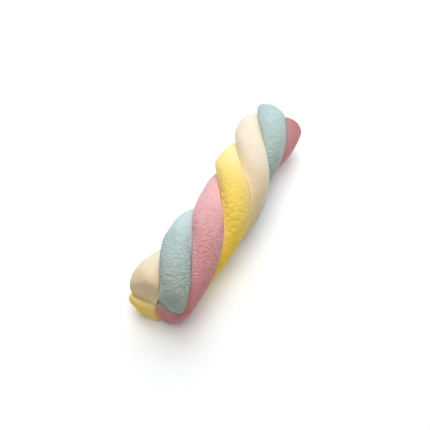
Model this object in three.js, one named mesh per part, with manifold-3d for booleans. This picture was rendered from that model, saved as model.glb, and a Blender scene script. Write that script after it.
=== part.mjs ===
// A twisted marshmallow stick: four soft strands, pink, blue, cream and yellow, wound round one axis
// with a left-hand twist and pressed together. The twist starts loose and tightens. The stick lies on
// its side, a little flattened where its crowns meet the table.
// Millimetres, +Z up, X along the stick from the loose end to the tight end, origin in the middle of
// the footprint. Angles round the axis are in degrees: 0 points to -Y and 90 points up.
import * as THREE from "three";
import { mergeVertices } from "three/addons/utils/BufferGeometryUtils.js";
import Module from "manifold-3d";

// The stick
const LENGTH = 77; // between the mean planes of its two ends
const AXIS_HEIGHT = [10.15, 10.7, 9.7]; // of the axis above the table: loose end, middle, tight end
const BOW = 1.6; // sideways bend of the axis at the middle of the stick

// The twist. Each seam turns evenly from end to end, apart from a lag that is largest in the middle.
const LAG_DRIFT = 18; // moves the lag towards the loose end
const CROWDING = 8.2; // how far the seams are drawn round towards the stick's crowded side
const CROWDED_AT = -41; // where that side is

// The strands' common section: a wedge from the axis with a domed crown
const DOME_POWER = 3.1; // how square the crown's arch is: 2 is a plain arch
const SEAM_GAP = 0.4; // clearance between facing walls
const TIGHT_EDGE = 0.3; // radius of the tight end's edge along the walls
const SLANT_REACH = 8; // how far along the strand the slope of its loose end is felt

// The strands in order round the axis. A pair is loose end, tight end, and five values are spread
// evenly from the loose end to the tight end.
// seam: where the strand's first wall stands. lag: four times how far it lags in the middle.
// crown: radius of the crown.
// crease: radius of the crease at the first wall, as a share of the mean of the two crowns beside it.
// swell: one more rise of the crown: a share of the way along, its height, and its spread as a share.
// setback: how far the strand stops short of the mean end plane.
// looseRounding: how far the crown's rounding at the loose end reaches along the strand and inwards,
// at its first wall and at its second. tightRounding: the same, all across the tight end.
// looseEdge: radius of the loose end's edge along the first wall and along the second.
// looseSlant: how far the loose end's face slopes back from the axis to the crown, at each wall.
const STRANDS = [
  {
    name: "pink_strand",
    color: 0xe6b3b3,
    seam: [-83.5, 331.5],
    lag: 106,
    crown: [10.4, 10, 9.2, 9.4, 9.7],
    crease: [0.92, 0.82, 0.76, 0.69, 0.69],
    setback: [-0.2, -1.3],
    looseRounding: [[2.5, 2.4], [6, 3.4]],
    tightRounding: [0.5, 0.5],
    looseEdge: [0.4, 1.8],
    looseSlant: [0, 0],
  },
  {
    name: "blue_strand",
    color: 0xb0c9c8,
    seam: [7, 419.5],
    lag: 108,
    crown: [11.8, 11.1, 10.1, 8.2, 8.6],
    crease: [0.69, 0.69, 0.69, 0.69, 0.69],
    setback: [1.5, -1.7],
    looseRounding: [[3, 1.2], [4.5, 2.5]],
    tightRounding: [1.2, 1.2],
    looseEdge: [1.4, 0.5],
    looseSlant: [-0.7, 0.2],
  },
  {
    name: "cream_strand",
    color: 0xf4e6d0,
    seam: [81.5, 525],
    lag: 86,
    crown: [11.9, 11.1, 11, 10.9, 10.6],
    crease: [0.69, 0.69, 0.69, 0.69, 0.69],
    setback: [0.5, -0.4],
    looseRounding: [[6, 3.2], [5, 3.2]],
    tightRounding: [1.3, 1.3],
    looseEdge: [0.5, 0.1],
    looseSlant: [2.6, -0.6],
  },
  {
    name: "yellow_strand",
    color: 0xf4dc80,
    seam: [182.5, 620.5],
    lag: 110,
    crown: [11.2, 10.4, 10.8, 10.4, 9.9],
    swell: [0.64, 0.9, 0.07],
    crease: [0.86, 0.86, 0.9, 0.7, 0.69],
    setback: [-1.4, -0.5],
    looseRounding: [[4.6, 2.2], [4.6, 2.4]],
    tightRounding: [2.4, 2.4],
    looseEdge: [1.6, 0.5],
    looseSlant: [0, 0],
  },
];

// Fineness of the meshes
const CROWN_STEPS = 15;
const WALL_STEPS = 3;
const BODY_STEPS = 36;
const ROUNDING_STEPS = 4;
const END_ZONE = 2.5; // the stations lie closer together this near to an end

const NO_SWELL = [0, 0, 1];
const ROUGHNESS = 0.8;
const FULL_TURN = 360;

const radians = THREE.MathUtils.degToRad;
const mix = THREE.MathUtils.lerp;
const clamp = THREE.MathUtils.clamp;
const smoothstep = THREE.MathUtils.smoothstep;

// A smooth value through a list of values that are spread evenly from t = 0 to t = 1.
function through(values, t) {
  const points = values.map((value, place) => new THREE.Vector2(place, value));
  return new THREE.SplineCurve(points).getPoint(clamp(t, 0, 1)).y;
}

function crownRadius(strand, t) {
  const [at, height, spread] = strand.swell ?? NO_SWELL;
  return through(strand.crown, t) + height * Math.exp(-(((t - at) / spread) ** 2));
}

// Angle of a strand's first wall, in radians, a share t of the way along the stick.
function seamAngle(strand, t) {
  const lag = t * (1 - t) * (strand.lag + LAG_DRIFT * (1 - 2 * t));
  const angle = mix(strand.seam[0], strand.seam[1], t) - lag;
  return radians(angle - CROWDING * Math.sin(radians(angle - CROWDED_AT)));
}

// Radius of the crease at the first wall of the strand with this index.
function creaseRadius(index, t) {
  const strand = STRANDS[index];
  const before = STRANDS[(index + STRANDS.length - 1) % STRANDS.length];
  return (through(strand.crease, t) * (crownRadius(strand, t) + crownRadius(before, t))) / 2;
}

// How far a rounded edge falls at a distance from its lowest line: a quarter of an ellipse.
function quarterDrop(distance, reach, depth) {
  const inward = clamp(1 - distance / reach, 0, 1);
  return depth * (1 - Math.sqrt(1 - inward ** 2));
}

// How far the crown draws in where it is this far from the strand's two ends. share goes from 0 at the
// strand's first wall to 1 at its second.
function crownInset(strand, [toLoose, toTight], share) {
  const [first, second] = strand.looseRounding;
  const reach = mix(first[0], second[0], share);
  const depth = mix(first[1], second[1], share);
  return quarterDrop(toLoose, reach, depth) + quarterDrop(toTight, ...strand.tightRounding);
}

// One point of the strand's outline at a station, as x, radius and angle. across goes from -1 at the
// first wall to 1 at the second, and outward from 0 at the inner edge to 1 on the crown. toEnds holds
// the station's distances to the strand's loose end and its tight end.
function outlinePoint(index, station, toEnds, across, outward) {
  const strand = STRANDS[index];
  const next = (index + 1) % STRANDS.length;
  const share = (1 + across) / 2;
  const slant = mix(...strand.looseSlant, share) * (1 - smoothstep(toEnds[0], 0, SLANT_REACH));
  const x = station + slant * outward;
  const t = x / LENGTH + 0.5;
  const firstWall = seamAngle(strand, t);
  const secondWall = seamAngle(STRANDS[next], t) + (next === 0 ? radians(FULL_TURN) : 0);
  const halfWidth = (secondWall - firstWall) / 2;
  const tightDrop = quarterDrop(toEnds[1], TIGHT_EDGE, TIGHT_EDGE);
  const [firstOffset, secondOffset] = strand.looseEdge.map(
    (edge) => SEAM_GAP / 2 + quarterDrop(toEnds[0], edge, edge) + tightDrop,
  );
  const offset = across < 0 ? firstOffset : secondOffset;
  const inset = crownInset(strand, toEnds, share);
  const crease = creaseRadius(across < 0 ? index : next, t) - inset;
  if (outward < 1) {
    const apex = Math.max(firstOffset, secondOffset) / Math.sin(halfWidth);
    const radius = mix(apex, crease, outward);
    const fromWall = Math.asin(offset / radius);
    return [x, radius, across < 0 ? firstWall + fromWall : secondWall - fromWall];
  }
  const reach = halfWidth - Math.asin(offset / crease);
  const rise = 1 - Math.abs(across) ** DOME_POWER;
  const radius = mix(crease, crownRadius(strand, t) - inset, rise);
  return [x, radius, (firstWall + secondWall) / 2 + across * reach];
}

// The strand's outline at a station: out along the first wall, over the crown and back down the
// second wall.
function outlineAt(index, station, toEnds) {
  const outline = [];
  for (let step = 0; step < WALL_STEPS; step++) {
    outline.push(outlinePoint(index, station, toEnds, -1, step / WALL_STEPS));
  }
  for (let step = 0; step <= CROWN_STEPS; step++) {
    const across = Math.sin(Math.PI * (step / CROWN_STEPS - 0.5));
    outline.push(outlinePoint(index, station, toEnds, across, 1));
  }
  for (let step = WALL_STEPS - 1; step > 0; step--) {
    outline.push(outlinePoint(index, station, toEnds, 1, step / WALL_STEPS));
  }
  return outline;
}

// Distances from one end, closer together the nearer they are to it.
function endStations() {
  const distances = [];
  for (let step = 0; step < ROUNDING_STEPS; step++) {
    distances.push(END_ZONE * (1 - Math.cos(((Math.PI / 2) * step) / ROUNDING_STEPS)));
  }
  return distances;
}

// Radius and angle round the axis, at x, to a point in space.
function place(x, radius, angle) {
  const t = x / LENGTH + 0.5;
  const [loose, middle, tight] = AXIS_HEIGHT;
  const axisY = -BOW * 4 * t * (1 - t);
  const axisZ = mix(loose, tight, t) + (middle - (loose + tight) / 2) * 4 * t * (1 - t);
  return [x, axisY - radius * Math.cos(angle), axisZ + radius * Math.sin(angle)];
}

// One strand as a closed mesh: rings of points joined along the stick, with a fan over each end.
function strandGeometry(index) {
  const [looseBack, tightBack] = STRANDS[index].setback;
  const start = -LENGTH / 2 + looseBack;
  const end = LENGTH / 2 - tightBack;
  const stations = endStations().map((distance) => start + distance);
  for (let step = 0; step <= BODY_STEPS; step++) {
    stations.push(mix(start + END_ZONE, end - END_ZONE, step / BODY_STEPS));
  }
  endStations().reverse().forEach((distance) => stations.push(end - distance));
  const points = [];
  const triangles = [];
  for (const station of stations) {
    const outline = outlineAt(index, station, [station - start, end - station]);
    outline.forEach(([x, radius, angle]) => points.push(place(x, radius, angle)));
  }
  const around = points.length / stations.length;
  for (let ring = 0; ring < stations.length - 1; ring++) {
    for (let side = 0; side < around; side++) {
      const next = (side + 1) % around;
      const a = ring * around + side;
      const b = ring * around + next;
      const c = a + around;
      const d = b + around;
      // The quads are split alike on both halves, so that facing walls have matching facets.
      if (side < around / 2) {
        triangles.push(a, d, b, a, c, d);
      } else {
        triangles.push(a, c, b, b, c, d);
      }
    }
  }
  const lastRing = points.length - around;
  for (const first of [0, lastRing]) {
    const ring = points.slice(first, first + around);
    const centre = [0, 1, 2].map((axis) => ring.reduce((sum, point) => sum + point[axis], 0) / around);
    const hub = points.length;
    points.push(centre);
    for (let side = 0; side < around; side++) {
      const a = first + side;
      const b = first + ((side + 1) % around);
      if (first === 0) {
        triangles.push(hub, a, b);
      } else {
        triangles.push(hub, b, a);
      }
    }
  }
  const geometry = new THREE.BufferGeometry();
  geometry.setAttribute("position", new THREE.Float32BufferAttribute(points.flat(), 3));
  geometry.setIndex(triangles);
  return geometry;
}

const wasm = await Module();
wasm.setup();

function toSolid(geometry) {
  geometry.deleteAttribute("normal");
  geometry.deleteAttribute("uv");
  const merged = mergeVertices(geometry);
  const vertProperties = new Float32Array(merged.attributes.position.array);
  const triVerts = new Uint32Array(merged.index.array);
  return new wasm.Manifold(new wasm.Mesh({ numProp: 3, vertProperties, triVerts }));
}

function toGeometry(solid) {
  const { vertProperties, triVerts } = solid.getMesh();
  const geometry = new THREE.BufferGeometry();
  geometry.setAttribute("position", new THREE.BufferAttribute(vertProperties, 3));
  geometry.setIndex(new THREE.BufferAttribute(triVerts, 1));
  geometry.computeVertexNormals();
  return geometry;
}

// Everything below the table's surface, taken off each strand to leave its flat resting spots.
function belowTable() {
  const size = 2 * LENGTH;
  const slab = new THREE.BoxGeometry(size, size, size);
  slab.translate(0, 0, -size / 2);
  return toSolid(slab);
}

const group = new THREE.Group();
const table = belowTable();
STRANDS.forEach((strand, index) => {
  const solid = toSolid(strandGeometry(index)).subtract(table);
  const material = new THREE.MeshStandardMaterial({
    color: strand.color,
    roughness: ROUGHNESS,
    metalness: 0,
  });
  const mesh = new THREE.Mesh(toGeometry(solid), material);
  mesh.name = strand.name;
  group.add(mesh);
});

// The origin goes to the middle of the footprint.
const bounds = new THREE.Box3().setFromObject(group, true);
const middle = bounds.getCenter(new THREE.Vector3());
group.position.set(-middle.x, -middle.y, -bounds.min.z);

export default group;
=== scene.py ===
"""A twisted marshmallow stick: pink, blue, cream and yellow strands of soft foam wound into a
left-hand rope that starts loose and tightens, lying on a white table in soft studio light.

Shapes are worked out in millimetres, X along the stick from its loose end to its tight end and Z up.
Angles round the stick's axis are 0 towards -Y and 90 degrees up."""
import math

import bpy
import numpy as np
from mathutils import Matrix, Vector, noise


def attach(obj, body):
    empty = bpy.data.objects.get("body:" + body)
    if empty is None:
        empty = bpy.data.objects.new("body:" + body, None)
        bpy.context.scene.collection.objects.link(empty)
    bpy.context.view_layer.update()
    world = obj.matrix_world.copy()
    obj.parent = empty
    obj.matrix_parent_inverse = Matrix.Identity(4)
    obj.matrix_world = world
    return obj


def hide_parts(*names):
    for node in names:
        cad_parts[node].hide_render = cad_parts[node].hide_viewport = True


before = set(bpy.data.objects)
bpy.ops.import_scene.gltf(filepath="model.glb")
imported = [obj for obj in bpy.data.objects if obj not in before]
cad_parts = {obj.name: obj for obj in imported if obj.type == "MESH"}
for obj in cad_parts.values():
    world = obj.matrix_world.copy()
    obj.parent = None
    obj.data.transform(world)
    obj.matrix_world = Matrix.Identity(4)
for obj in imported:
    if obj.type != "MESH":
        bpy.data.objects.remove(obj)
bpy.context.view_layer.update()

MM = 0.001

# The stick, as in the CAD model
LENGTH = 77
AXIS_HEIGHT = (10.15, 10.7, 9.7)  # at the loose end, in the middle and at the tight end
BOW = 1.6  # how far the axis bends towards -Y
LAG_DRIFT = 18  # by how much the lag is more towards the loose end and less towards the tight end
CROWDING = 8.2  # degrees by which the seams crowd towards one angle
CROWDED_AT = -41
DOME_POWER = 3.1  # the higher it is, the flatter a crown
NO_SWELL = (0, 0, 1)

# The strands in order round the axis, as in the CAD model. A pair is loose end, tight end. Five values
# or more are spread evenly from the loose end to the tight end.
# seam: angle of the first wall. lag: four times how far that angle lags in the middle of the stick.
# crown: radius of the crown. swell: one more rise of it: where, how high and how wide.
# crease: radius at the first seam, as a share of the crowns beside it.
# setback: how far the strand stops short of the mean end plane.
# loose_rounding: how far the crown's rounding at the loose end reaches along the strand and inwards, at
# its first wall and at its second. tight_rounding: the same, all across the tight end.
# loose_edge: radius of the loose end's edge along the first wall and along the second.
# loose_slant: how far the loose end's face slopes back from the axis to the crown, at each wall.
# deep: the deeper tone that patches and flecks go towards, and the colour of the painted shade.
# painted_shade_along: how far each stretch of the strand goes towards it: partly the foam's own tone,
# partly painted shade and bounced light where they fell along the stick.
# wrinkled: how deep the crosswise wrinkles are. pitted: how deep the pits between them are.
STRANDS = (
    dict(
        name="pink", colour=(0.83, 0.5, 0.54), deep=(0.6, 0.19, 0.19),
        seam=(-83.5, 331.5), lag=106, crown=(10.4, 10, 9.2, 9.4, 9.7),
        crease=(0.92, 0.82, 0.76, 0.69, 0.69),
        setback=(-0.2, -1.3), loose_rounding=((2.5, 2.4), (6, 3.4)), tight_rounding=(0.5, 0.5),
        loose_edge=(0.4, 1.8), loose_slant=(0, 0),
        painted_shade_along=(0.9, 0.46, 0, 0.35, 0.7),
        wrinkled=(0.15, 1.25, 0.3, 0.2, 0.05), pitted=(0.2, 0.8, 0.9, 0.4, 0.1),
    ),
    dict(
        name="blue", colour=(0.54, 0.69, 0.72), deep=(0.3, 0.335, 0.28),
        seam=(7, 419.5), lag=108, crown=(11.8, 11.1, 10.1, 8.2, 8.6),
        crease=(0.69, 0.69, 0.69, 0.69, 0.69),
        setback=(1.5, -1.7), loose_rounding=((3, 1.2), (4.5, 2.5)), tight_rounding=(1.2, 1.2),
        loose_edge=(1.4, 0.5), loose_slant=(-0.7, 0.2),
        painted_shade_along=(0.75, 0.13, 0, 0.4, 0),
        wrinkled=(1.1, 1.6, 1.25, 0.1, 0, 1.2, 1.6, 0.5, 0.5),
        pitted=(1, 1, 0.7, 0.2, 0.1, 0.5, 0.9, 0.4, 0.4),
    ),
    dict(
        name="cream", colour=(0.88, 0.78, 0.65), deep=(0.75, 0.52, 0.29),
        seam=(81.5, 525), lag=86, crown=(11.9, 11.1, 11, 10.9, 10.6),
        crease=(0.69, 0.69, 0.69, 0.69, 0.69),
        setback=(0.5, -0.4), loose_rounding=((6, 3.2), (5, 3.2)), tight_rounding=(1.3, 1.3),
        loose_edge=(0.5, 0.1), loose_slant=(2.6, -0.6),
        painted_shade_along=(0.7, 0, 0.8, 0, 0),
        wrinkled=(0.25, 0.35, 0.9, 0.3, 0.05), pitted=(0.3, 0.35, 0.8, 0.3, 0.1),
    ),
    dict(
        name="yellow", colour=(0.97, 0.78, 0.37), deep=(0.97, 0.64, 0.035),
        seam=(182.5, 620.5), lag=110, crown=(11.2, 10.4, 10.8, 10.4, 9.9), swell=(0.64, 0.9, 0.07),
        crease=(0.86, 0.86, 0.9, 0.7, 0.69),
        setback=(-1.4, -0.5), loose_rounding=((4.6, 2.2), (4.6, 2.4)), tight_rounding=(2.4, 2.4),
        loose_edge=(1.6, 0.5), loose_slant=(0, 0),
        painted_shade_along=(1, 1, 0.6, 0, 0),
        wrinkled=(0.3, 0.5, 0.7, 0.9, 1, 0.35, 0, 0, 0.05),
        pitted=(0.5, 0.7, 0.9, 1.1, 1.2, 0.4, 0.1, 0.1, 0.1),
    ),
)
COUNT = len(STRANDS)

# The seams, one at each strand's first wall.
# lip: radius of the two lips that meet there. end_lip: the same at the loose end.
# back: how much of this strand's colour has soaked into the one before it at the seam, and how far it
# reaches. on: the same for the colour of the one before, soaked into this strand.
SEAMS = (
    dict(lip=0.35, end_lip=0.9, back=(0.4, 0.6), on=(0.2, 0.5)),
    dict(lip=0.7, end_lip=0.9, back=(0.4, 0.5), on=(0.3, 0.5)),
    dict(lip=0.7, end_lip=0.9, back=(0.2, 0.4), on=(0.25, 0.5)),
    dict(lip=0.2, end_lip=1.2, back=(0.55, 1.8), on=(0.5, 2)),
)
SEAM_WOBBLE = 0.8  # degrees
SEAM_WOBBLE_LENGTH = 7

WALL_GAP = 0.06  # between facing walls
TIGHT_EDGE = (0.3, 0.3)  # radius of the tight end's edge along the walls
SLANT_REACH = 8  # how far along the strand the slant of its loose end is felt
END_LIP_REACH = 5  # how far the lips of the loose end go on
END_BULGE = 0.7

# Relief of the foam: how high and how long. A pair of lengths is along and across the strand.
LUMP_HEIGHT, LUMP_SIZE = 0.25, 10
DIMPLE_HEIGHT, DIMPLE_SIZE = 0.1, 4.5
WRINKLE_DEPTH, WRINKLE_SIZE, WRINKLE_WIDTH = 0.14, (0.95, 2.4), 0.3
CRINKLE_DEPTH, CRINKLE_SIZE, CRINKLE_WIDTH = 0.1, (0.65, 1.1), 0.35
WAVES = ((0.2, 1.6), (0.35, 5), (0.6, 20))  # how far the wrinkles wander, and over what length
PIT_DEPTH, PIT_SIZE = 0.12, 0.85
SCALLOP_HEIGHT, SCALLOP_SIZE = 0.5, 3.8  # only near the loose end
SCALLOPED = (1, 7)  # distances from the loose end plane where scallops have all their height, and none
LUMP_CLEARANCE = 1.2  # lumps flatten out, and hollows lose their painted shade, this near to a seam
WRINKLE_CLEARANCE = 0.5  # wrinkles and pits flatten out this near to it
WRINKLED_FACES = 0.3  # how deep wrinkles are on the end faces, as a share of the depth beside them
HOLLOW_SHADE_SHARES = (0.7, 0.4, 0.5)  # how much wrinkles, crinkles and pits count towards the painted shade in hollows
VALLEY_POWER = 1.5  # over 1, so that wrinkles are narrow at the bottom
NOISE_GAIN = 2  # brings most of the noise to the range -1 to 1
STEEPEST_TURN = 0.2  # radians of twist a millimetre, in working out which way a strand runs
LEAST_STEP = 1e-4  # between rows, in the same work: the rows of an end face lie almost in one plane

# The foam's look. Sizes are in millimetres. PATCHES and FLECKS are how far the colour goes towards the
# deep one there.
PATCH_SIZE, PATCHES = 9, 0.12
FLECK_SIZE, FLECKS = 1.6, 0.12
# How far painted shade in wrinkles and pits takes the colour towards the deep one
HOLLOW_SHADE = 0.45
BLEED_SIZE, BLEED_RANGE = 3, (0.6, 1.2)
ROUGHNESS = (0.72, 0.88)
MOTTLE_RANGE = (0.3, 0.7)  # the part of the noise texture's range that mottling uses
GRAIN_SIZE, GRAIN_DEPTH, GRAIN_STRENGTH = 0.6, 0.1, 0.35
SPECULAR = 0.25
SHEEN, SHEEN_ROUGHNESS = 0.15, 0.6
SUBSURFACE, SUBSURFACE_DEPTH, SUBSURFACE_RADIUS = 0.2, 1, (1, 0.7, 0.5)

# Fineness
CROWN_STEPS = 132
WALL_STEPS = 7
WALL_SPACING = 0.7  # under 1, so that the steps lie closer together towards the crown
BODY_STEPS = 560
END_ZONE = 2.5  # the rows lie closer together this near to an end
ROUNDING_STEPS = 24
CAP_STEPS = 18


def between(pair, t):
    return pair[0] + (pair[1] - pair[0]) * t


def through(values, t):
    """A smooth curve through values spread evenly from t = 0 to t = 1 (Catmull-Rom)."""
    last = len(values) - 1
    place = np.clip(t, 0, 1) * last
    step = np.minimum(place.astype(int), last - 1)
    f = place - step
    padded = np.array([values[0], *values, values[-1]], float)
    a, b, c, d = (padded[step + k] for k in range(4))
    return b + f * ((c - a) + f * ((2 * a - 5 * b + 4 * c - d) + f * (3 * b - a - 3 * c + d))) / 2


def noise_at(points, size, seed=0.0, basis="PERLIN_ORIGINAL"):
    """Noise at an array of points, whose unit becomes size (a number, or one for each axis)."""
    scaled = points / np.asarray(size, float) + seed
    flat = scaled.reshape(-1, 3).tolist()
    values = np.fromiter((noise.noise(p, noise_basis=basis) for p in flat), float, len(flat))
    return values.reshape(points.shape[:-1])


def smooth_step(value, low, high):
    share = np.clip((value - low) / (high - low), 0, 1)
    return share * share * (3 - 2 * share)


def crown_radius(index, t):
    strand = STRANDS[index % COUNT]
    at, height, spread = strand.get("swell", NO_SWELL)
    return through(strand["crown"], t) + height * np.exp(-(((t - at) / spread) ** 2))


def crease_radius(index, t):
    """Radius of the crease at a strand's first seam."""
    share = through(STRANDS[index % COUNT]["crease"], t)
    return share * (crown_radius(index, t) + crown_radius(index - 1, t)) / 2


def seam_angle(index, t):
    """Angle of a strand's first wall, in radians. Strand COUNT is strand 0, one turn on."""
    strand = STRANDS[index % COUNT]
    lag = t * (1 - t) * (strand["lag"] + LAG_DRIFT * (1 - 2 * t))
    angle = between(strand["seam"], t) - lag
    angle = angle - CROWDING * np.sin(np.radians(angle - CROWDED_AT))
    steps = np.stack([t * LENGTH, 0 * t, 0 * t], axis=-1)
    angle = angle + SEAM_WOBBLE * noise_at(steps, SEAM_WOBBLE_LENGTH, seed=11.3 * (index % COUNT))
    return np.radians(angle + 360 * (index // COUNT))


def quarter_drop(distance, reach, depth=None):
    """How far a rounded edge falls, at a distance from its lowest line. It is a quarter of an ellipse
    with this reach and depth, or of a circle."""
    inward = np.clip(1 - distance / reach, 0, 1)
    return (reach if depth is None else depth) * (1 - np.sqrt(1 - inward**2))


def axis_at(t):
    loose, middle, tight = AXIS_HEIGHT
    bump = 4 * t * (1 - t)
    return -BOW * bump, between((loose, tight), t) + (middle - (loose + tight) / 2) * bump


def outline(index, x, to_ends):
    """A strand's outline as places along the stick, radii and angles, rows by columns: out along the
    first wall, over the crown and back along the second wall. x and the distances to both ends have one
    value a row."""
    strand = STRANDS[index]
    to_loose, to_tight = (distance[:, None] for distance in to_ends)
    crown = np.sin(math.pi / 2 * np.linspace(-1, 1, CROWN_STEPS + 1))
    wall = np.linspace(0, 1, WALL_STEPS, endpoint=False) ** WALL_SPACING
    across = np.concatenate([-1 + 0 * wall, crown, 1 + 0 * wall[1:]])[None, :]
    outward = np.concatenate([wall, 1 + 0 * crown, wall[:0:-1]])[None, :]

    to_second = (1 + across) / 2
    slant = between(strand["loose_slant"], to_second) * outward
    x = x[:, None] + slant * (1 - smooth_step(to_loose, 0, SLANT_REACH))
    t = x / LENGTH + 0.5
    first, second = seam_angle(index, t), seam_angle(index + 1, t)
    half, middle = (second - first) / 2, (second + first) / 2

    first_round, second_round = strand["loose_rounding"]
    reach = between((first_round[0], second_round[0]), to_second)
    depth = between((first_round[1], second_round[1]), to_second)
    inset = quarter_drop(to_loose, reach, depth) + quarter_drop(to_tight, *strand["tight_rounding"])
    offset_1, offset_2 = (
        WALL_GAP / 2 + quarter_drop(to_loose, loose) + quarter_drop(to_tight, tight)
        for loose, tight in zip(strand["loose_edge"], TIGHT_EDGE)
    )
    is_first = across < 0
    offset = np.where(is_first, offset_1, offset_2)
    crease = np.where(is_first, crease_radius(index, t), crease_radius(index + 1, t)) - inset
    lips = [
        between((seam["end_lip"], seam["lip"]), smooth_step(to_loose, 0, END_LIP_REACH))
        for seam in (SEAMS[index], SEAMS[(index + 1) % COUNT])
    ]
    lip = np.where(is_first, *lips)
    half_crown = half - np.arcsin(offset / (crease - lip))
    to_seam = crease * half_crown * (1 - np.abs(across))
    rise = 1 - np.abs(across) ** DOME_POWER
    surface = crease + (crown_radius(index, t) - inset - crease) * rise - quarter_drop(to_seam, lip)

    apex = np.maximum(offset_1, offset_2) / np.sin(half)
    radius = apex + (surface - apex) * outward
    on_wall = np.where(is_first, first + np.arcsin(offset / radius), second - np.arcsin(offset / radius))
    angle = np.where(outward < 1, on_wall, middle + across * half_crown)
    return x, radius, angle


def smooth_strand(index):
    """The strand's surface without its relief: rows of points from the middle of one end face, along
    the strand and to the middle of the other. Each row closes round the strand."""
    strand = STRANDS[index]
    start = -LENGTH / 2 + strand["setback"][0]
    end = LENGTH / 2 - strand["setback"][1]
    closing = END_ZONE * (1 - np.cos(np.linspace(0, math.pi / 2, ROUNDING_STEPS, endpoint=False)))
    body = np.linspace(start + END_ZONE, end - END_ZONE, BODY_STEPS)
    rows = np.concatenate([start + closing, body, (end - closing)[::-1]])
    x, radius, angle = outline(index, rows, (rows - start, end - rows))
    axis_y, axis_z = axis_at(x / LENGTH + 0.5)
    sides = np.stack([x, axis_y - radius * np.cos(angle), axis_z + radius * np.sin(angle)], axis=-1)
    caps = []
    share = np.linspace(0, 1, CAP_STEPS, endpoint=False)[1:, None, None]
    for rim, outward in ((sides[0], -1), (sides[-1], 1)):
        hub = rim.mean(axis=0)
        hub[0] = (rim[:, 0].min() + rim[:, 0].max()) / 2
        cap = hub + (rim - hub) * share
        cap[..., 0] += outward * END_BULGE * (1 - share[..., 0] ** 2) ** 2
        caps.append(cap)
    return np.concatenate([caps[0], sides, caps[1][::-1]])


def normals_of(points):
    along = np.gradient(points, axis=0)
    around = np.roll(points, -1, axis=1) - np.roll(points, 1, axis=1)
    normals = np.cross(along, around)
    return normals / np.linalg.norm(normals, axis=2, keepdims=True)


def strand_places(index, points):
    """Where each point lies on its strand: t along the stick, distances along and across the strand,
    and distances to its two walls."""
    t = points[..., 0] / LENGTH + 0.5
    axis_y, axis_z = axis_at(t)
    out_y, out_z = axis_y - points[..., 1], points[..., 2] - axis_z
    radius = np.hypot(out_y, out_z)
    rows = t.mean(axis=1, keepdims=True)
    first, second = seam_angle(index, rows), seam_angle(index + 1, rows)
    middle = (first + second) / 2
    phi = np.arctan2(out_z, out_y) - middle
    phi = (phi + math.pi) % (2 * math.pi) - math.pi
    to_walls = [
        radius * np.sin(np.clip(phi + middle - first, 0, math.pi / 2)),
        radius * np.sin(np.clip(second - middle - phi, 0, math.pi / 2)),
    ]
    crown = crown_radius(index, rows)
    turning = np.gradient(middle[:, 0]) / np.maximum(np.gradient(rows[:, 0]) * LENGTH, LEAST_STEP)
    slant = np.arctan(crown[:, 0] * np.clip(turning, 0, STEEPEST_TURN))[:, None]
    x = points[..., 0]
    along = x / np.cos(slant.mean()) + crown * np.sin(slant) * phi
    across = crown * np.cos(slant) * phi
    return t, along, across, to_walls


def valleys(places, size, seed, width):
    """A field of thin winding valleys: 0 on the puffs between them, 1 at the bottom."""
    level = np.abs(noise_at(places, (*size, 1), seed=seed))
    return np.clip(1 - level / width, 0, 1) ** VALLEY_POWER


def relief(index, points):
    """Height of the foam's relief at each point, how deep in a wrinkle or pit it is, 0 to 1, which sets
    its painted shade, and its distances to the strand's two walls."""
    strand = STRANDS[index]
    seed = 7.7 * index + 3.1
    t, along, across, to_walls = strand_places(index, points)
    rows = np.arange(points.shape[0])
    rim_1, rim_2 = CAP_STEPS - 1, points.shape[0] - CAP_STEPS
    past_loose = smooth_step(rows, rim_1, rim_1 + ROUNDING_STEPS)
    before_tight = 1 - smooth_step(rows, rim_2 - ROUNDING_STEPS, rim_2)
    on_side = (past_loose * before_tight)[:, None]  # 0 on the end faces, 1 on the strand's side
    to_seam = np.minimum(*to_walls)
    clear = smooth_step(to_seam, 0, LUMP_CLEARANCE)

    lumps = LUMP_HEIGHT * noise_at(points, LUMP_SIZE, seed=seed)
    lumps = lumps + DIMPLE_HEIGHT * noise_at(points, DIMPLE_SIZE, seed=seed + 5)
    scallops = SCALLOP_HEIGHT * noise_at(points, SCALLOP_SIZE, seed=seed + 9)
    near_end = 1 - smooth_step(points[..., 0] + LENGTH / 2, *SCALLOPED)
    lumps = lumps + near_end * scallops

    for turn, (reach, length) in enumerate(WAVES):
        along = along + NOISE_GAIN * reach * noise_at(points, length, seed=seed + 13 + 4 * turn)
    places = np.stack([along, across, 0 * along], axis=-1)
    wrinkled = through(strand["wrinkled"], t) * between((WRINKLED_FACES, 1), on_side)
    pitted = through(strand["pitted"], t)
    wrinkles = valleys(places, WRINKLE_SIZE, seed, WRINKLE_WIDTH)
    crinkles = valleys(places, CRINKLE_SIZE, seed + 21, CRINKLE_WIDTH)
    pits = np.clip(NOISE_GAIN * noise_at(points, PIT_SIZE, seed=seed + 25), 0, 1)
    fine = wrinkled * (WRINKLE_DEPTH * wrinkles + CRINKLE_DEPTH * crinkles) + PIT_DEPTH * pitted * pits
    in_wrinkle, in_crinkle, in_pit = HOLLOW_SHADE_SHARES
    shade_mask = wrinkled * (in_wrinkle * wrinkles + in_crinkle * crinkles) + in_pit * pitted * pits
    height = clear * lumps - smooth_step(to_seam, 0, WRINKLE_CLEARANCE) * fine
    return height, np.clip(shade_mask, 0, 1) * clear, to_walls


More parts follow.
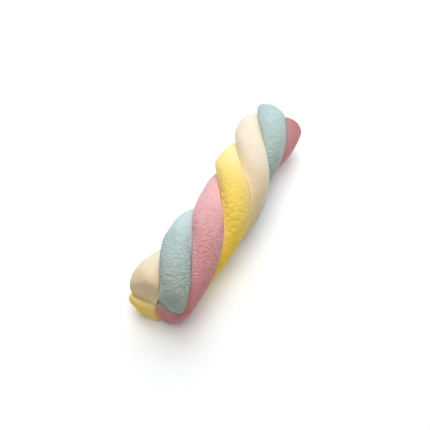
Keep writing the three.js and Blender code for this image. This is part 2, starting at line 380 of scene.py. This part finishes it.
def build(index, shift):
    """The strand's piece, with the attributes that its material reads."""
    name = STRANDS[index]["name"] + "_strand_foam"
    smooth = smooth_strand(index)
    height, shade_mask, to_walls = relief(index, smooth)
    grid = smooth + height[..., None] * normals_of(smooth)
    rows, columns = grid.shape[:2]
    points = np.concatenate([grid.reshape(-1, 3), [grid[0].mean(axis=0), grid[-1].mean(axis=0)]])
    points = points + shift
    points[:, 2] = np.maximum(points[:, 2], 0)  # flat where it rests on the table
    places = np.arange(rows * columns).reshape(rows, columns)
    ahead = np.roll(places, -1, axis=1)
    quads = np.stack([places[:-1], places[1:], ahead[1:], ahead[:-1]], axis=-1).reshape(-1, 4)
    hub_1, hub_2 = rows * columns, rows * columns + 1
    fans = [(hub_1, int(a), int(b)) for a, b in zip(places[0], ahead[0])]
    fans += [(hub_2, int(b), int(a)) for a, b in zip(places[-1], ahead[-1])]
    mesh = bpy.data.meshes.new(name)
    mesh.from_pydata((points * MM).tolist(), [], quads.tolist() + fans)
    mesh.shade_smooth()
    soaked = (SEAMS[index]["on"], SEAMS[(index + 1) % COUNT]["back"])
    # Painted shade: the colour goes deeper in wrinkles and pits, and along stretches of the strand that
    # lay in shade, partly also the foam's own tone along it.
    shade_along = through(STRANDS[index]["painted_shade_along"], smooth[..., 0] / LENGTH + 0.5)
    fields = {"painted_shade": 1 - (1 - HOLLOW_SHADE * shade_mask) * (1 - np.clip(shade_along, 0, 1))}
    for field, (share, reach), distance in zip(("first_bleed", "second_bleed"), soaked, to_walls):
        fields[field] = share * np.exp(-distance / reach)
    for field, values in fields.items():
        attribute = mesh.attributes.new(field, "FLOAT", "POINT")
        ends = [values[0].mean(), values[-1].mean()]
        attribute.data.foreach_set("value", np.concatenate([values.ravel(), ends]))
    piece = bpy.data.objects.new(name, mesh)
    bpy.context.scene.collection.objects.link(piece)
    return piece


def plug(tree, socket, value):
    """Feed a socket from another one, or set it to a value. A colour has three numbers."""
    if isinstance(value, bpy.types.NodeSocket):
        tree.links.new(value, socket)
    elif isinstance(value, tuple):
        socket.default_value = (*value, 1)
    else:
        socket.default_value = value


def add_node(tree, kind, **inputs):
    """A node with these inputs. A space in an input's name is written as an underscore."""
    node = tree.nodes.new(kind)
    for name, value in inputs.items():
        plug(tree, node.inputs[name.replace("_", " ")], value)
    return node


def mix_colours(tree, share, first, second):
    """The first colour with this share of the second in it."""
    node = tree.nodes.new("ShaderNodeMix")
    node.data_type = "RGBA"
    for place, value in ((0, share), (6, first), (7, second)):  # the sockets that mix colours
        plug(tree, node.inputs[place], value)
    return node.outputs[2]


def mottle(tree, places, size, low, high):
    """Soft noise with patches of this size in millimetres, brought to the range low to high."""
    cloud = add_node(tree, "ShaderNodeTexNoise", Vector=places, Scale=1 / (size * MM), Detail=2.0)
    least, most = MOTTLE_RANGE
    spread = add_node(
        tree, "ShaderNodeMapRange", Value=cloud.outputs["Fac"],
        From_Min=least, From_Max=most, To_Min=low, To_Max=high,
    )
    return spread.outputs["Result"]


def times(tree, first, second):
    node = tree.nodes.new("ShaderNodeMath")
    node.operation = "MULTIPLY"
    for socket, value in zip(node.inputs, (first, second)):
        plug(tree, socket, value)
    return node.outputs[0]


def read_field(tree, name):
    node = tree.nodes.new("ShaderNodeAttribute")
    node.attribute_name = name
    return node.outputs["Fac"]


def foam_material(index):
    """Soft matt foam: mottled, with painted shade in its hollows and along stretches of the strand, and
    tinted by its neighbours along the seams.
    """
    strand = STRANDS[index]
    material = bpy.data.materials.new(strand["name"] + "_foam")
    material.use_nodes = True
    tree = material.node_tree
    shader = tree.nodes["Principled BSDF"]
    places = tree.nodes.new("ShaderNodeTexCoord").outputs["Object"]

    patches = mottle(tree, places, PATCH_SIZE, 0, PATCHES)
    flecks = mottle(tree, places, FLECK_SIZE, 0, FLECKS)
    colour = mix_colours(tree, patches, strand["colour"], strand["deep"])
    colour = mix_colours(tree, flecks, colour, strand["deep"])
    # Painted shade in hollows and along the strand
    colour = mix_colours(tree, read_field(tree, "painted_shade"), colour, strand["deep"])
    uneven = mottle(tree, places, BLEED_SIZE, *BLEED_RANGE)
    for name, neighbour in (("first_bleed", index - 1), ("second_bleed", (index + 1) % COUNT)):
        soaked = times(tree, read_field(tree, name), uneven)
        colour = mix_colours(tree, soaked, colour, STRANDS[neighbour]["colour"])
    tree.links.new(colour, shader.inputs["Base Color"])
    tree.links.new(mottle(tree, places, FLECK_SIZE, *ROUGHNESS), shader.inputs["Roughness"])

    grain = add_node(tree, "ShaderNodeTexNoise", Vector=places, Scale=1 / (GRAIN_SIZE * MM), Detail=3.0)
    bump = add_node(
        tree, "ShaderNodeBump", Height=grain.outputs["Fac"],
        Strength=GRAIN_STRENGTH, Distance=GRAIN_DEPTH * MM,
    )
    tree.links.new(bump.outputs["Normal"], shader.inputs["Normal"])
    shader.inputs["Specular IOR Level"].default_value = SPECULAR
    shader.inputs["Sheen Weight"].default_value = SHEEN
    shader.inputs["Sheen Roughness"].default_value = SHEEN_ROUGHNESS
    shader.inputs["Subsurface Weight"].default_value = SUBSURFACE
    shader.inputs["Subsurface Radius"].default_value = SUBSURFACE_RADIUS
    shader.inputs["Subsurface Scale"].default_value = SUBSURFACE_DEPTH * MM
    return material


def stick_shift():
    """From the middle of the axis to the middle of the footprint, where the origin lies."""
    everything = np.concatenate([smooth_strand(index).reshape(-1, 3) for index in range(COUNT)])
    middle = (everything.min(axis=0) + everything.max(axis=0)) / 2
    return np.array([-middle[0], -middle[1], 0])


def direction(azimuth, elevation):
    """Towards an azimuth, 0 being -Y and 90 +X, and an elevation, both in degrees."""
    azimuth, elevation = math.radians(azimuth), math.radians(elevation)
    level = math.cos(elevation)
    return Vector((math.sin(azimuth) * level, -math.cos(azimuth) * level, math.sin(elevation)))


shift = stick_shift()
for index, strand in enumerate(STRANDS):
    piece = build(index, shift)
    piece.data.materials.append(foam_material(index))
    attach(piece, "root")
    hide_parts(strand["name"] + "_strand")

# The table, and a dim studio beyond it
TABLE_SIDE = 8.0  # metres
TABLE_DROP = 0.00005  # metres, to keep the table clear of the flats that rest on it
TABLE_WHITE = 0.95
TABLE_GLOW = (0.055, 0.07, 0.1)  # lights the shadows, as a white studio's lit table does
STUDIO = (0.04, 0.04, 0.04)
table_mesh = bpy.data.meshes.new("table")
half_side = TABLE_SIDE / 2
corners = [(x * half_side, y * half_side, 0) for x, y in ((-1, -1), (1, -1), (1, 1), (-1, 1))]
table_mesh.from_pydata(corners, [], [(0, 1, 2, 3)])
table = bpy.data.objects.new("table", table_mesh)
table.location.z = -TABLE_DROP
bpy.context.scene.collection.objects.link(table)
paint = bpy.data.materials.new("table_white")
paint.use_nodes = True
paint_shader = paint.node_tree.nodes["Principled BSDF"]
paint_shader.inputs["Base Color"].default_value = (TABLE_WHITE, TABLE_WHITE, TABLE_WHITE, 1)
paint_shader.inputs["Specular IOR Level"].default_value = 0
paint_shader.inputs["Emission Color"].default_value = (*TABLE_GLOW, 1)
paint_shader.inputs["Emission Strength"].default_value = 1
table_mesh.materials.append(paint)

world = bpy.data.worlds.new("studio")
world.use_nodes = True
world.node_tree.nodes["Background"].inputs["Color"].default_value = (*STUDIO, 1)
world.node_tree.nodes["Background"].inputs["Strength"].default_value = 1
bpy.context.scene.world = world

# The camera. Its picture is square.
PICTURE = 430  # pixels
PIXELS_PER_MM = 3.098  # where the stick lies
CAMERA_AZIMUTH = -59.6  # degrees
CAMERA_ELEVATION = 63  # degrees
CAMERA_DISTANCE = 333
STICK_MIDDLE = (0, 0, 9.8)
OFF_CENTRE = (0.83, 1.26)  # from the middle of the picture to the stick's middle: right, up
SENSOR = 36

back = direction(CAMERA_AZIMUTH, CAMERA_ELEVATION)
right = direction(CAMERA_AZIMUTH + 90, 0)
up = back.cross(right)
aim = Vector(STICK_MIDDLE) + Vector(shift.tolist()) - OFF_CENTRE[0] * right - OFF_CENTRE[1] * up
camera_data = bpy.data.cameras.new("camera")
camera_data.sensor_width = SENSOR
camera_data.lens = SENSOR * CAMERA_DISTANCE * PIXELS_PER_MM / PICTURE
camera = bpy.data.objects.new("camera", camera_data)
camera.location = (aim + CAMERA_DISTANCE * back) * MM
camera.rotation_euler = back.to_track_quat("Z", "Y").to_euler()
bpy.context.scene.collection.objects.link(camera)
bpy.context.scene.camera = camera

# The studio's soft square lights: a large one overhead, faintly warm, a large one high behind the
# stick, faintly cool, and a small weak reflector close to the stick's right side. Angles are in
# degrees, distances and sides in metres and powers in watts.
LIGHTS = (
    dict(
        name="overhead", azimuth=0, elevation=90, distance=1.8, side=1.5,
        colour=(1, 0.98, 0.88), power=23.2,
    ),
    dict(
        name="key", azimuth=130, elevation=50, distance=1.8, side=1.5,
        colour=(0.85, 0.93, 1), power=22.8,
    ),
    dict(
        name="reflector", azimuth=75, elevation=35, distance=0.15, side=0.1,
        colour=(0.95, 1, 1), power=0.036,
    ),
)
LIT_POINT = Vector((0.01, 0, 0.01))  # metres

for light in LIGHTS:
    light_data = bpy.data.lights.new(light["name"], "AREA")
    light_data.size = light["side"]
    light_data.color = light["colour"]
    light_data.energy = light["power"]
    lamp = bpy.data.objects.new(light["name"], light_data)
    toward = direction(light["azimuth"], light["elevation"])
    lamp.location = LIT_POINT + toward * light["distance"]
    lamp.rotation_euler = toward.to_track_quat("Z", "Y").to_euler()
    bpy.context.scene.collection.objects.link(lamp)

bpy.context.scene.view_settings.view_transform = "Standard"
